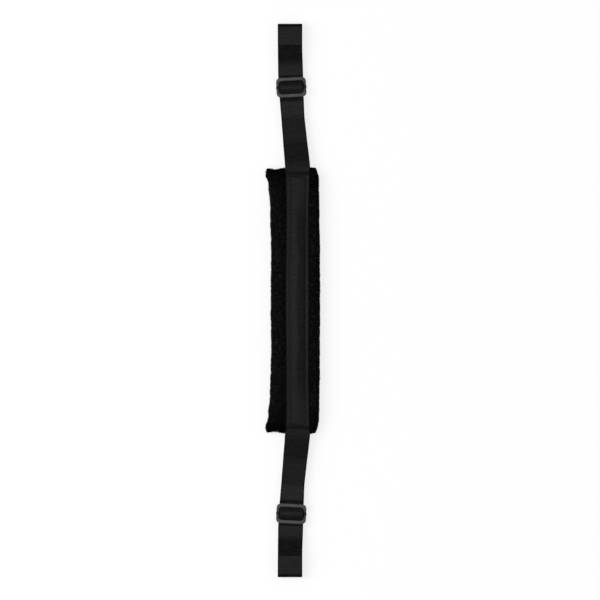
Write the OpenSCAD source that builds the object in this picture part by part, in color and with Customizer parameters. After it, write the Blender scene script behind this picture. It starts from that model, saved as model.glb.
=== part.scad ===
// Padded neck strap: a plush pad with webbing sewn along it, an adjustable slider on each arm
// and a webbing loop at each end. It lies face up on a table, long way along Y.

/* [Webbing] */
// Width of the webbing
web_w = 24.4; // [18:0.2:30]
// Thickness of the webbing
web_t = 1; // [0.8:0.1:1.4]
// Distance of the webbing's middle line from the pad's own middle, halfway along the pad
web_shift = 4.65; // [0:0.05:8]
// How much further over the webbing lies at the ends of the pad
web_bow = 0.65; // [0:0.05:2]
// Angle at which the arms lean away from the long axis
arm_angle = 2.2; // [0:0.1:4]
// Length of the strap from fold to fold
strap_len = 570.4; // [520:0.2:620]

/* [Pad] */
// Length of the pad
pad_len = 272; // [230:1:300]
// Reach of the pad to the left of the long axis, halfway along
pad_left = 22.7; // [20:0.1:30]
// Reach of the pad to the right of the long axis, halfway along
pad_right = 28; // [26:0.1:34]
// Height of the crown
crown_h = 14; // [11:0.5:20]
// Height of the pad's top under the webbing
channel_h = 11.5; // [9:0.5:16]
// Height of the seam between the two covers
seam_h = 5.5; // [4:0.5:7]
// Thickness of the plush cover
cover_t = 2; // [1.2:0.1:3]
// How far the soft left corners stand out
ear_out = 5.3; // [0:0.1:8]
// Length over which the left side swells out to its corner
ear_len = 48; // [30:1:70]
// How far the right side draws in towards its ends
side_draw = 1.4; // [0:0.1:3]
// How far the right corners are cut back
corner_cut = 2.8; // [0:0.1:5]
// Length of the cut right corner
corner_len = 10; // [6:0.5:16]

/* [Slider] */
// Distance of each slider's middle bar from the middle of the strap
slider_y = 219.3; // [212:0.1:226]
// Distance of the sliders' middle from the long axis
slider_x = -1.22; // [-3:0.01:1]
// Diameter of the frame's wire
wire_d = 2.8; // [2:0.1:3.4]
// Diameter of the middle bar
bar_d = 1.8; // [1.4:0.1:2.4]
// Distance between the frame's two outer bars
bar_pitch = 17.6; // [16:0.1:22]
// Radius of the frame's corners, at the middle of the wire
corner_r = 2.4; // [2:0.1:3]
// Wall of the crimped eye at each end of the middle bar
eye_t = 0.4; // [0.3:0.05:0.8]
// Width of the crimped eye
eye_w = 2.4; // [1.6:0.1:3]
// Slider travel towards the pad
travel_in = 30; // [10:1:34]
// Slider travel towards the end fold
travel_out = 12; // [4:1:14]

/* [Sewing] */
// Length of one stitch
stitch_len = 2.4; // [1.6:0.1:3]
// Distance from one stitch to the next
stitch_pitch = 4; // [3.4:0.1:6]
// Thickness of the thread
thread_d = 0.5; // [0.3:0.05:0.8]
// Distance of the stitch rows from the webbing's edge
row_inset = 3.6; // [2:0.1:6]
// Distance between the two cross rows
cross_gap = 2.6; // [1.6:0.1:4]
// Length of the return stretch's sewn end
tab_len = 22; // [14:1:26]

/* [Hidden] */
$fn = 48;

plush_black = "#101010";
webbing_black = "#262626";
gunmetal = "#4c4c4e";
bar_steel = "#333335";
foam_grey = "#b8b4aa";
thread_black = "#1a1a1a";

// Clearances
slide_gap = 0.2;
window_gap = 0.4;
bar_gap = 0.4;
wrap_gap = 0.05;
eye_gap = 0.2;
seam_gap = 0.1;
foam_gap = 0.8;
foam_lift = 0.25;
rest_gap = 0.2;
stitch_gap = 0.1;
tab_gap = 0.3;
slide_spare = 1;
cut_over = 1;

// Heights of the layers, from the table up: lower leg of the end loop, return stretch, bar in its
// wrap, arm, then the loop's upper leg and the frame's outer bars side by side
return_z = web_t + slide_gap;
bar_z = return_z + web_t + wrap_gap + bar_d / 2;
wrap_r = bar_d / 2 + wrap_gap + web_t;
arm_z = bar_z + wrap_r + slide_gap;
upper_leg_z = arm_z + web_t + slide_gap;
outer_bar_z = arm_z + web_t + bar_gap + wire_d / 2;

// Slider frame: round wire bent to a rectangle, its side rails dipping in an arc to the middle bar
rail_x = web_w / 2 + window_gap + wire_d / 2;
rise = outer_bar_z - bar_z;
rail_r = (pow(bar_pitch / 2, 2) + pow(rise, 2) - pow(corner_r, 2)) / (2 * rise);
rail_angle = atan2(bar_pitch / 2, rail_r - rise) - atan2(corner_r, rail_r);
eye_r = wire_d / 2 + eye_gap + eye_t;
rail_rings = 3;
corner_rings = 4;
wire_sides = 12;

// Lengths along an arm, counted from the slider's middle bar
fold_s = (strap_len / 2 - slider_y) / cos(arm_angle);
loop_lap = 2;
eye_len = 4;
leg_len = (travel_in + travel_out) / 2 + loop_lap + eye_len;
leg_s = fold_s - web_t - leg_len;
arm_end_s = fold_s - web_t - eye_len - travel_in / 2;
return_end_s = fold_s - web_t - eye_len - travel_out / 2;
straight_s = -travel_in - bar_pitch / 2 - wire_d / 2 - slide_spare;
fold_r = (upper_leg_z + web_t) / 2;
tab_w = 2 * (rail_x - eye_r) - 2 * slide_gap;

// Pad: cross-sections at stations that crowd towards the ends
half_len = pad_len / 2;
stations = 12;
stitch_station = 10;
end_exponent = 9;
end_round_exponent = 0.42;
crest_at = 0.6;
lobe_exponent = 2.2;
lobe_steps = [0, 0.1, 0.28, 0.52, 0.78, 1];
channel_edge = 0.3;
lobe_edge = 0.8;
belly = 1;
side_round_share = 0.12;
ear_tip = 20;
ear_flat = 7;
ear_round = 2;
ear_round_len = 4;
ear_tip_share = 0.64;
ear_full_share = 0.33;
mid_x = (pad_right - pad_left) / 2;
mid_w = (pad_right + pad_left) / 2;

// Sewing: a stitch shows half of its thread above the webbing
stitch_h = thread_d / 2;
row_end = 2 * stitch_pitch;

// Fold line of each arm, just clear of the pad's end. The webbing on the pad stops short of it and
// dips, so that the arm can fold back over the pad
fold_gap = 1.2;
fold_drop = 0.8;
fold_room = 1;
end_dip = 0.7;
fold_y = half_len + fold_gap;
arm_rings = 10;
arm_splay_slope = 0.12;

function smooth(a, b, v) = let (q = min(1, max(0, (v - a) / (b - a)))) q * q * (3 - 2 * q);
function station_y(j) = half_len * sin(90 * j / stations);
function end_fall(y) = pow(1 - pow(min(1, abs(y) / half_len), end_exponent), end_round_exponent);
function web_x(y) = web_shift + web_bow * pow(y / half_len, 2);

// Left side: nearly straight, swelling out to soft ears at its corners
function left_x(y) =
    let (from_end = half_len - abs(y))
    let (swell = 1 - smooth(ear_full_share * ear_len, ear_len, from_end))
    let (tip = 1 - smooth(ear_flat, ear_tip, from_end))
    let (nip = pow(max(0, 1 - from_end / ear_round_len), 2))
    -pad_left - ear_out * ((1 - ear_tip_share) * swell + ear_tip_share * tip) + ear_round * nip;

// Right side: a slight bow, with its corners cut back
function right_x(y) =
    let (cut = max(0, 1 - (half_len - abs(y)) / corner_len))
    pad_right - side_draw * pow(y / half_len, 2) - corner_cut * cut;

// Height above the seam across one lobe of the pad, from its outer side in to the webbing
function lobe_h(q) =
    let (crown = crown_h - seam_h)
    let (channel = channel_h - seam_h)
    q < crest_at
        ? crown * pow(1 - pow(1 - q / crest_at, lobe_exponent), 1 / lobe_exponent)
        : channel + (crown - channel) * pow(cos(90 * (q - crest_at) / (1 - crest_at)), 2);

// Points across the pad at one station, as x and height above the seam
function across(y) =
    let (l = left_x(y))
    let (r = right_x(y))
    let (wl = web_x(y) - web_w / 2)
    let (wr = web_x(y) + web_w / 2)
    let (channel = channel_h - seam_h)
    concat(
        [for (q = lobe_steps) [l + (wl - lobe_edge - l) * q, lobe_h(q)]],
        [[wl - channel_edge, channel], [wr + channel_edge, channel]],
        [for (k = [len(lobe_steps) - 1 : -1 : 0])
            let (q = lobe_steps[k]) [r + (wr + lobe_edge - r) * q, lobe_h(q)]]
    );

// How full the underside is across the pad: nought at both seams, one over the flat
function belly_fill(x, y) =
    let (q = (x - left_x(y)) / (right_x(y) - left_x(y)))
    let (edge = min(q, 1 - q) / side_round_share)
    edge >= 1 ? 1 : pow(1 - pow(1 - edge, 2), 0.5);

front_grid = [for (j = [-stations : stations])
    let (y = station_y(j)) [for (p = across(y)) [p[0], y, seam_h + p[1] * end_fall(y)]]];
back_grid = [for (j = [-stations : stations])
    let (y = station_y(j)) [for (p = across(y))
        [p[0], y, max(0, seam_h - (seam_h + belly) * belly_fill(p[0], y) * end_fall(y))]]];

// The same surface drawn in by a wall thickness, towards the middle of the seam plane
function drawn_in(grid, wall, height, lift) = [for (row = grid) [for (p = row) [
    mid_x + (p[0] - mid_x) * (1 - wall / mid_w),
    p[1] * (1 - wall / half_len),
    seam_h + (p[2] - seam_h) * (1 - wall / height) + lift]]];

// Closed solid between an upper and a lower surface with the same stations
module between(upper, lower) {
    rows = len(upper);
    cols = len(upper[0]);
    count = rows * cols;
    edge = concat(
        [for (i = [0 : cols - 2]) i],
        [for (j = [0 : rows - 2]) j * cols + cols - 1],
        [for (i = [cols - 1 : -1 : 1]) (rows - 1) * cols + i],
        [for (j = [rows - 1 : -1 : 1]) j * cols]
    );
    cells = [for (j = [0 : rows - 2]) for (i = [0 : cols - 2]) j * cols + i];
    top = [for (c = cells) each [[c, c + cols, c + cols + 1], [c, c + cols + 1, c + 1]]];
    under = [for (f = top) [f[2] + count, f[1] + count, f[0] + count]];
    rim = [for (k = [0 : len(edge) - 1])
        let (a = edge[k])
        let (b = edge[(k + 1) % len(edge)])
        each [[a, b, b + count], [a, b + count, a + count]]];
    polyhedron(concat([for (r = upper) each r], [for (r = lower) each r]), concat(rim, top, under), 4);
}

// Flat strip through rings given as x, y, height of the middle and turn about the vertical
module strip(rings, w, t) {
    points = [for (r = rings) for (c = [[-1, -1], [1, -1], [1, 1], [-1, 1]])
        [r[0] + c[0] * w / 2 * cos(r[3]), r[1] + c[0] * w / 2 * sin(r[3]), r[2] + c[1] * t / 2]];
    last = 4 * (len(rings) - 1);
    sides = [for (k = [0 : len(rings) - 2]) for (i = [0 : 3])
        let (a = 4 * k + i)
        let (b = 4 * k + (i + 1) % 4)
        each [[a, b + 4, a + 4], [a, b, b + 4]]];
    ends = [[2, 1, 0], [3, 2, 0], [last, last + 1, last + 2], [last, last + 2, last + 3]];
    polyhedron(points, concat(sides, ends), 4);
}

// Webbing over the pad: its middle line follows the channel as far as the cross stitches
function over_pad_z(y) = seam_h + seam_gap + (channel_h - seam_h) * end_fall(y) + rest_gap + web_t / 2;
sewn_y = station_y(stitch_station);
fold_z = over_pad_z(sewn_y) - fold_drop;
pad_end_y = fold_y - fold_room;
pad_end_z = fold_z - end_dip;
pad_rings = concat(
    [[web_x(half_len), -pad_end_y, pad_end_z, 0]],
    [for (j = [-stitch_station : stitch_station])
        let (y = station_y(j)) [web_x(y), y, over_pad_z(y), 0]],
    [[web_x(half_len), pad_end_y, pad_end_z, 0]]
);

// Height and slope of that webbing's facets at any place along the pad
function facet(y) = [for (k = [0 : len(pad_rings) - 2])
    if (y >= pad_rings[k][1] && y < pad_rings[k + 1][1]) k][0];
function facet_slope(y) =
    let (k = facet(y))
    (pad_rings[k + 1][2] - pad_rings[k][2]) / (pad_rings[k + 1][1] - pad_rings[k][1]);
function facet_z(y) = let (k = facet(y)) pad_rings[k][2] + facet_slope(y) * (y - pad_rings[k][1]);

// Middle line of the upper arm: a curve from the fold line, then straight to its end
function arm_at(s) = [slider_x - s * sin(arm_angle), slider_y + s * cos(arm_angle)];
function ease(a, b, da, db, q) =
    a * (1 + 2 * q) * pow(1 - q, 2) + b * q * q * (3 - 2 * q) + da * q * pow(1 - q, 2) - db * q * q * (1 - q);
arm_start = arm_at(straight_s);
arm_run = arm_start[1] - fold_y;
arm_path = concat(
    [for (k = [0 : arm_rings])
        let (q = k / arm_rings)
        [ease(web_x(half_len), arm_start[0], -arm_splay_slope * arm_run, -tan(arm_angle) * arm_run, q),
         fold_y + arm_run * q,
         fold_z + (arm_z + web_t / 2 - fold_z) * smooth(0, 1, q),
         arm_angle * smooth(0, 1, q)]],
    [concat(arm_at(arm_end_s), [arm_z + web_t / 2, arm_angle])]
);

// Places an arm's piece: +Y then runs along the arm from the slider's middle bar
module on_arm(side) {
    mirror([0, side < 0 ? 1 : 0, 0])
        translate([slider_x, slider_y, 0])
            rotate([0, 0, arm_angle])
                children();
}

// Carries a side view, drawn along the arm and upwards, across the webbing's width
module across_arm(w) {
    rotate([90, 0, 90])
        linear_extrude(w, center = true)
            children();
}

module stitch(x, y) {
    translate([x, y, facet_z(y)])
        rotate([atan(facet_slope(y)), 0, 0])
            translate([0, 0, web_t / 2 + stitch_gap + stitch_h / 2])
                children();
}

module pad_front_cover() {
    color(plush_black)
        translate([0, 0, seam_gap])
            between(front_grid, drawn_in(front_grid, cover_t, crown_h - seam_h, 0));
}

module pad_back_cover() {
    color(plush_black)
        between(drawn_in(back_grid, cover_t, seam_h, 0), back_grid);
}

module pad_foam() {
    wall = cover_t + foam_gap;
    color(foam_grey)
        between(
            drawn_in(front_grid, wall, crown_h - seam_h, foam_lift),
            drawn_in(back_grid, wall, seam_h, -foam_lift)
        );
}

module pad_webbing() {
    color(webbing_black)
        strip(pad_rings, web_w, web_t);
}

module edge_stitching() {
    row_x = web_w / 2 - row_inset;
    reach = floor((sewn_y - row_end) / stitch_pitch) * stitch_pitch;
    color(thread_black)
        for (x = [-row_x, row_x])
            for (y = [-reach : stitch_pitch : reach])
                stitch(web_x(y) + x, y)
                    cube([thread_d, stitch_len, stitch_h], center = true);
}

module cross_stitching(side) {
    reach = floor((web_w / 2 - stitch_len) / stitch_pitch) * stitch_pitch;
    color(thread_black)
        for (row = [0, 1])
            for (x = [-reach : stitch_pitch : reach]) {
                y = side * (sewn_y - thread_d - row * cross_gap);
                stitch(web_x(y) + x, y)
                    cube([stitch_len, thread_d, stitch_h], center = true);
            }
}

module arm_webbing(side) {
    nose_r = web_t / 2 - wrap_gap;
    color(webbing_black)
        mirror([0, side < 0 ? 1 : 0, 0])
            union() {
                strip(arm_path, web_w, web_t);
                translate([web_x(half_len), fold_y, fold_z])
                    rotate([0, 90, 0])
                        cylinder(h = web_w, r = nose_r, center = true);
            }
}

// One quarter of the wire's middle line, from the middle of a rail to the outer bar. Each place has
// its point, the direction out of the frame there, and the direction square to the frame
function rail_place(turn) = [
    [rail_x, rail_r * sin(turn), rail_r * (1 - cos(turn))],
    [1, 0, 0],
    [0, -sin(turn), cos(turn)]];
function corner_place(turn) =
    let (along = [0, cos(rail_angle), sin(rail_angle)])
    let (out = [cos(turn), 0, 0] + along * sin(turn))
    [rail_place(rail_angle)[0] - [corner_r, 0, 0] + corner_r * out, out, rail_place(rail_angle)[2]];
quarter = concat(
    [for (k = [0 : rail_rings - 1]) rail_place(rail_angle * k / rail_rings)],
    [for (k = [0 : corner_rings]) corner_place(90 * k / corner_rings)]
);
function reflected(place, sx, sy) = [for (v = place) [sx * v[0], sy * v[1], v[2]]];
wire_line = concat(
    [for (k = [0 : len(quarter) - 1]) reflected(quarter[k], 1, 1)],
    [for (k = [len(quarter) - 1 : -1 : 1]) reflected(quarter[k], -1, 1)],
    [for (k = [0 : len(quarter) - 1]) reflected(quarter[k], -1, -1)],
    [for (k = [len(quarter) - 1 : -1 : 1]) reflected(quarter[k], 1, -1)]
);

module slider_frame(side) {
    rings = len(wire_line);
    points = [for (place = wire_line) for (k = [0 : wire_sides - 1])
        let (turn = 360 * k / wire_sides)
        place[0] + wire_d / 2 * (cos(turn) * place[1] + sin(turn) * place[2])];
    faces = [for (r = [0 : rings - 1]) for (k = [0 : wire_sides - 1])
        let (a = r * wire_sides + k)
        let (b = r * wire_sides + (k + 1) % wire_sides)
        let (c = (r + 1) % rings * wire_sides + k)
        let (d = (r + 1) % rings * wire_sides + (k + 1) % wire_sides)
        each [[a, b, d], [a, d, c]]];
    color(gunmetal)
        on_arm(side)
            translate([0, 0, bar_z])
                polyhedron(points, faces, 4);
}

module slider_bar(side) {
    color(bar_steel)
        on_arm(side)
            translate([0, 0, bar_z])
                difference() {
                    union() {
                        rotate([0, 90, 0])
                            cylinder(h = 2 * (rail_x - eye_r + eye_t / 2), d = bar_d, center = true);
                        for (x = [-rail_x, rail_x])
                            translate([x, 0, 0])
                                rotate([90, 0, 0])
                                    cylinder(h = eye_w, r = eye_r, center = true);
                    }
                    for (x = [-rail_x, rail_x])
                        translate([x, 0, 0])
                            rotate([90, 0, 0])
                                cylinder(h = eye_w + 2 * cut_over, r = wire_d / 2 + eye_gap, center = true);
                }
}

module return_webbing(side) {
    color(webbing_black)
        on_arm(side)
            across_arm(tab_w)
                difference() {
                    union() {
                        translate([0, return_z])
                            square([return_end_s, web_t]);
                        translate([0, return_z + web_t])
                            square([tab_len, web_t]);
                        translate([0, bar_z])
                            circle(r = wrap_r);
                    }
                    translate([0, bar_z])
                        circle(r = bar_d / 2 + wrap_gap);
                }
}

module tab_stitching(side) {
    reach = floor((tab_w / 2 - stitch_len) / stitch_pitch) * stitch_pitch;
    color(thread_black)
        on_arm(side)
            for (s = [wrap_r + 2 * cross_gap, tab_len - cross_gap])
                for (x = [-reach : stitch_pitch : reach])
                    translate([x, s, return_z + 2 * web_t + tab_gap / 2])
                        cube([stitch_len, thread_d, stitch_h], center = true);
}

module end_loop(side) {
    inner_r = fold_r - web_t;
    color(webbing_black)
        on_arm(side)
            across_arm(web_w)
                difference() {
                    union() {
                        translate([leg_s, 0])
                            square([fold_s - fold_r - leg_s, 2 * fold_r]);
                        translate([fold_s - fold_r, fold_r])
                            circle(r = fold_r);
                    }
                    translate([leg_s - cut_over, web_t])
                        square([fold_s - fold_r - leg_s + cut_over, 2 * inner_r]);
                    translate([fold_s - fold_r, fold_r])
                        circle(r = inner_r);
                }
}

pad_front_cover();
pad_back_cover();
pad_foam();
pad_webbing();
edge_stitching();
cross_stitching(1);  // upper_cross_stitching
cross_stitching(-1);  // lower_cross_stitching
arm_webbing(1);  // upper_arm_webbing
slider_frame(1);  // upper_slider_frame
slider_bar(1);  // upper_slider_bar
return_webbing(1);  // upper_return_webbing
tab_stitching(1);  // upper_tab_stitching
end_loop(1);  // upper_end_loop
arm_webbing(-1);  // lower_arm_webbing
slider_frame(-1);  // lower_slider_frame
slider_bar(-1);  // lower_slider_bar
return_webbing(-1);  // lower_return_webbing
tab_stitching(-1);  // lower_tab_stitching
end_loop(-1);  // lower_end_loop
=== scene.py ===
import math

import bpy
import numpy as np
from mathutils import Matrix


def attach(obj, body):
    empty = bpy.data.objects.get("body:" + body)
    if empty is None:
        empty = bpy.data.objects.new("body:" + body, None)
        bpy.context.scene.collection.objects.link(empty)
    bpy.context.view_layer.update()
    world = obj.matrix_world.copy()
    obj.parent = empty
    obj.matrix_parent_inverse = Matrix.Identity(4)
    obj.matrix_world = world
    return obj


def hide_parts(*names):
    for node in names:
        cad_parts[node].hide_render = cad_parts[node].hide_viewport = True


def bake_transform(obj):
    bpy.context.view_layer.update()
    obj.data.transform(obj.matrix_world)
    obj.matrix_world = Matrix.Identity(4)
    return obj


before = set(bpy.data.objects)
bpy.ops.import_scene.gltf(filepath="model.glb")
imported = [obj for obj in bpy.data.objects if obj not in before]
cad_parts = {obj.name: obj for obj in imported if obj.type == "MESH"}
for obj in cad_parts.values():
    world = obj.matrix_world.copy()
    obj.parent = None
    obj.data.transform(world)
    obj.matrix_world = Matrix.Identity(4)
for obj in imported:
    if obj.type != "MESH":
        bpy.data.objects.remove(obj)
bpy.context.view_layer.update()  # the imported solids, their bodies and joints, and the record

# Camera
# It stands straight above the strap and twelve metres off, so that the picture is nearly flat.
# The picture spans 618 mm, at which 25 mm webbing has the width that it shows.
MM = 0.001
PICTURE_SPAN = 618 * MM
PICTURE_MIDDLE = (7.4 * MM, 0.5 * MM)
CAMERA_HEIGHT = 12000 * MM
SENSOR_WIDTH = 36
camera_data = bpy.data.cameras.new("camera")
camera_data.sensor_width = SENSOR_WIDTH
camera_data.lens = SENSOR_WIDTH * CAMERA_HEIGHT / PICTURE_SPAN
camera = bpy.data.objects.new("camera", camera_data)
camera.location = (*PICTURE_MIDDLE, CAMERA_HEIGHT)
bpy.context.collection.objects.link(camera)
bpy.context.scene.camera = camera

# Foam core
# A slab of open-cell polyurethane foam, cut to the pad's outline and shut in between the two plush
# panels. It is pressed thinner along the channel where the webbing is sewn down.
PAD_HALF = 136.0
PAD_LEFT, PAD_RIGHT = 22.7, 28.0
PAD_MIDDLE = (PAD_RIGHT - PAD_LEFT) / 2
CROWN, SEAM = 14.0, 5.5
# y along the pad, and x of its left edge there
LEFT_EDGE = (
    (0, -22.8), (18.5, -22.75), (35, -22.5), (51.5, -22.4), (64, -22.6), (72, -22.75), (80.3, -23.2),
    (97, -23.5), (105, -23.8), (109.2, -24.3), (113.3, -25.1), (117.4, -25.3), (121.5, -25.9),
    (125.7, -27.3), (129.8, -28.0), (133.9, -28.2), (136, -27.6))
SIDE_DRAW, CORNER_CUT, CORNER_LEN = 1.4, 2.8, 10.0
END_EXPONENT, END_ROUND = 9, 0.42
END_WALL, END_REACH, END_FREE = 40, 0.9, 115.0
# x across the pad, and how far its end stands out there
END_EDGE = (
    (-28, 0), (-25, -0.45), (-23, -0.4), (-20.9, -0.75), (-18.9, -1.1), (-16.8, -1.25), (-14.8, -0.95),
    (-12.7, -0.6), (-10.6, 0), (-8.6, 0.2), (-6.5, 0), (16.5, 0.2), (18.2, 0.6), (20.3, 0.2),
    (22.3, 0.1), (24.4, 0.8), (26, 0.3), (28, 0))
CREST_AT, LOBE_EXPONENT = 0.6, 2.2
BELLY, SIDE_ROUND = 1.0, 0.12
WEB_WIDTH, WEB_SHIFT, WEB_BOW = 24.4, 4.65, 0.65
WEB_THICK, WEB_OVER_PLUSH = 1.0, 0.2
STRAP_TOP_Z = 10.85
# y along the strap, and the webbing's rise to each millimetre there
STRAP_SLOPE = (
    (0, 0), (25, 0), (45, -0.019), (92, -0.021), (105, -0.016), (128, -0.016), (134, -0.04),
    (138, -0.042), (141, -0.052), (145, -0.073), (161, -0.073), (165, -0.045), (168, -0.036),
    (173, -0.036), (176, -0.043), (187, -0.042), (195, 0.012), (204, 0.024), (206.5, -0.1),
    (208.5, -0.1), (210.5, 0.02), (212.5, 0.11), (216.5, 0.1), (219.4, 0.012), (222, -0.065),
    (226.5, -0.083), (228.3, 0), (229.8, -0.115), (231.2, -0.115), (232.6, 0), (233.5, 0.03),
    (236, 0.046), (239, 0.05), (242, 0.06), (249.5, 0.135), (263.2, 0.135), (263.8, -0.008),
    (290, -0.008))
SLOPE_STEP = 0.1
FOAM_INSET = 3.0
ROWS_A_HALF, ROW_CROWDING = 44, math.radians(75)
LEFT_COLUMNS, WEB_COLUMNS, RIGHT_COLUMNS, COLUMN_CROWDING = 8, 8, 7, 1.35


def smooth(a, b, v):
    """Eased step: 0 before a, 1 after b, and 3q² - 2q³ between, with q the share of the way."""
    q = np.clip((v - a) / (b - a), 0, 1)
    return q * q * (3 - 2 * q)


def hermite(a, b, slope_a, slope_b, q):
    """Cubic from a to b, with the given slopes for a step of one at each end."""
    return (a * (1 + 2 * q) * (1 - q) ** 2 + b * q * q * (3 - 2 * q)
            + slope_a * q * (1 - q) ** 2 - slope_b * q * q * (1 - q))


def through(table, v):
    """A smooth curve through a table of places and values: between two of them a cubic, whose slope at
    each is the weighted mean of the slopes to its neighbours."""
    place, value = np.array(table, float).T
    slope = np.gradient(value, place)
    k = np.clip(np.searchsorted(place, v, side="right") - 1, 0, len(place) - 2)
    step = place[k + 1] - place[k]
    q = np.clip((v - place[k]) / step, 0, 1)
    return hermite(value[k], value[k + 1], slope[k] * step, slope[k + 1] * step, q)


def web_x(y):
    """Middle line of the webbing over the pad: off centre, and further off with the square of y."""
    return WEB_SHIFT + WEB_BOW * (y / PAD_HALF) ** 2


def end_fall(y):
    """Share of the full height left at y: (1 - (y over half length) to the 9th) to a power below one."""
    return (1 - np.minimum(1, np.abs(y) / PAD_HALF) ** END_EXPONENT) ** END_ROUND


def pad_sides(y):
    """Left and right edge of the pad: the left follows its measured edge, which swells out to a soft ear
    at each end; the right bows in slightly with the square of y and has its corners cut back."""
    cut = np.maximum(0, 1 - (PAD_HALF - np.abs(y)) / CORNER_LEN)
    return through(LEFT_EDGE, np.abs(y)), PAD_RIGHT - SIDE_DRAW * (y / PAD_HALF) ** 2 - CORNER_CUT * cut


def strap_z(y):
    """Height of the webbing's middle at y: its height at the pad's middle and the running sum of the
    slopes in the table."""
    place, slope = np.array(STRAP_SLOPE).T
    fine = np.arange(0, place[-1], SLOPE_STEP)
    climb = SLOPE_STEP * np.cumsum(np.interp(fine, place, slope))
    return np.interp(np.abs(y), fine, STRAP_TOP_Z + climb)


def lobe_height(q, crown, valley):
    """Height over the seam across one lobe, from its edge (q = 0) in to the webbing (q = 1): a
    superellipse up to the crest, then half a cosine wave down to the valley under the webbing."""
    rise = crown * (1 - np.clip(1 - q / CREST_AT, 0, 1) ** LOBE_EXPONENT) ** (1 / LOBE_EXPONENT)
    down = np.cos(np.pi / 2 * np.clip((q - CREST_AT) / (1 - CREST_AT), 0, 1)) ** 2
    return np.where(q < CREST_AT, rise, valley + (crown - valley) * down)


def pad_grids(inset, crown, press):
    """Front and back surface of the pad as grids of rows along y and columns across. Rows crowd towards
    the ends as a sine does. Columns share out the left lobe, the webbing and the right lobe. Under the
    webbing the front lies at the webbing's height less press. Heights over and under the seam fall off
    to nothing at the ends; the underside is flat but for its rim. Near each end the rows bend to follow
    the measured edge, which is drawn in between the ear and the webbing."""
    v = np.linspace(-1, 1, 2 * ROWS_A_HALF + 1)[:, None]
    y = (PAD_HALF + END_REACH - inset) * np.sin(ROW_CROWDING * v) / math.sin(ROW_CROWDING)
    left, right = pad_sides(y)
    left, right = left + inset, right - inset
    web_left, web_right = web_x(y) - WEB_WIDTH / 2, web_x(y) + WEB_WIDTH / 2
    q_left = np.linspace(0, 1, LEFT_COLUMNS + 1)[None, :-1] ** COLUMN_CROWDING
    q_web = np.linspace(0, 1, WEB_COLUMNS + 1)[None, :]
    q_right = np.linspace(0, 1, RIGHT_COLUMNS + 1)[None, :-1] ** COLUMN_CROWDING
    x = np.hstack([
        left + (web_left - left) * q_left,
        web_left + (web_right - web_left) * q_web,
        (right + (web_right - right) * q_right)[:, ::-1],
    ])
    share = y * PAD_HALF / (PAD_HALF + END_REACH - inset)
    fall = end_fall(share)
    wall = np.sqrt(1 - np.minimum(1, np.abs(share) / PAD_HALF) ** END_WALL)
    valley = (strap_z(y) - WEB_THICK / 2 - WEB_OVER_PLUSH - SEAM - press) * wall
    lobes = np.hstack([
        lobe_height(q_left, (crown - SEAM) * fall, valley),
        valley * np.ones_like(q_web),
        lobe_height(q_right, (crown - SEAM) * fall, valley)[:, ::-1],
    ])
    across = (x - left) / (right - left)
    rim = np.clip(np.minimum(across, 1 - across) / SIDE_ROUND, 0, 1)
    full = np.sqrt(1 - (1 - rim) ** 2)
    y = y + np.sign(y) * through(END_EDGE, x) * smooth(END_FREE, PAD_HALF, np.abs(y))
    front = np.stack([x, y, SEAM + lobes], -1)
    back = np.stack([x, y, np.maximum(0, SEAM - (SEAM + BELLY) * full * fall)], -1)
    return front, back


def grid_faces(rows, columns):
    """Quads between neighbouring points of a grid, wound so that columns turn towards rows."""
    r, c = np.mgrid[0:rows - 1, 0:columns - 1]
    a = r * columns + c
    return np.stack([a, a + 1, a + 1 + columns, a + columns], -1).reshape(-1, 4)


def closed_between(upper, lower):
    """Points and quads of the solid between two grids of one size: the upper grid, the lower one turned
    over, and a band of quads round their rims."""
    rows, columns = upper.shape[:2]
    count = rows * columns
    index = np.arange(count).reshape(rows, columns)
    rim = np.concatenate([index[0, :-1], index[:-1, -1], index[-1, :0:-1], index[:0:-1, 0]])
    following = np.roll(rim, -1)
    band = np.stack([following, rim, rim + count, following + count], -1)
    sheet = grid_faces(rows, columns)
    faces = np.concatenate([sheet, sheet[:, ::-1] + count, band])
    return np.concatenate([upper.reshape(-1, 3), lower.reshape(-1, 3)]), faces


def make_piece(name, points, faces, material, smooth_angle=40):
    """A mesh object at the origin from points in millimetres and faces of one size, shaded smooth but for
    edges that bend by more than smooth_angle degrees."""
    mesh = bpy.data.meshes.new(name)
    mesh.vertices.add(len(points))
    mesh.vertices.foreach_set("co", (points * MM).astype(np.float32).ravel())
    mesh.loops.add(faces.size)
    mesh.loops.foreach_set("vertex_index", faces.astype(np.int32).ravel())
    mesh.polygons.add(len(faces))
    mesh.polygons.foreach_set("loop_start", np.arange(0, faces.size, faces.shape[1], dtype=np.int32))
    mesh.update(calc_edges=True)
    mesh.shade_smooth()
    mesh.set_sharp_from_angle(angle=math.radians(smooth_angle))
    mesh.materials.append(material)
    made = bpy.data.objects.new(name, mesh)
    bpy.context.collection.objects.link(made)
    return made


def new_material(name):
    """An empty node material and its tree."""
    material = bpy.data.materials.new(name)
    material.use_nodes = True
    material.node_tree.nodes.clear()
    return material, material.node_tree


def linear(colour):
    """An sRGB hex colour as linear light: each channel to the power 2.4 above the dark toe."""
    c = np.array([int(colour[i:i + 2], 16) for i in (1, 3, 5)]) / 255
    return (*np.where(c <= 0.04045, c / 12.92, ((c + 0.055) / 1.055) ** 2.4), 1.0)


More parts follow.
